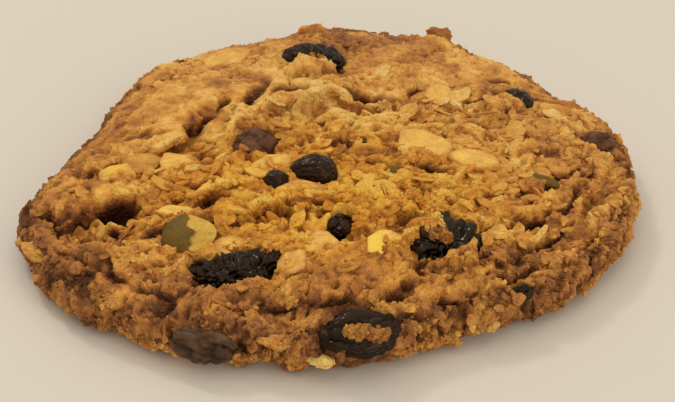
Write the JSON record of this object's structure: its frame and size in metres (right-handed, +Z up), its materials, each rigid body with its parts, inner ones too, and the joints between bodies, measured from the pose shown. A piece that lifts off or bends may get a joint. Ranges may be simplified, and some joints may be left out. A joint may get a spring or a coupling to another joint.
{
  "type": "granola cookie",
  "caption": "Thick round oat cookie with a craggy golden top, browned rim and flat underside, set with wrinkled raisins, oat flakes and a green pumpkin seed.",
  "frame": {"origin": "under the middle of the cookie's box, on the surface it lies on", "axes": "+Z up through the top; +X along the longer way across, to the right in the picture; -Y towards the camera"},
  "size_m": [0.0881, 0.0749, 0.0127],
  "materials": {
    "dough": "dull baked crust, golden on top and brown at the rim",
    "raisin": "wrinkled skin, half glossy",
    "seed": "smooth, olive green"
  },
  "bodies": {
    "root": {"dough": "dough", "pumpkin_seed": "seed", "raisin_far": "raisin", "raisin_brown": "raisin", "raisin_middle": "raisin", "raisin_bead": "raisin", "raisin_long": "raisin", "raisin_split": "raisin", "raisin_pit": "raisin", "raisin_ring": "raisin", "raisin_foot": "raisin", "raisin_corner": "raisin", "raisin_edge": "raisin", "raisin_speck": "raisin"}
  },
  "joints": []
}
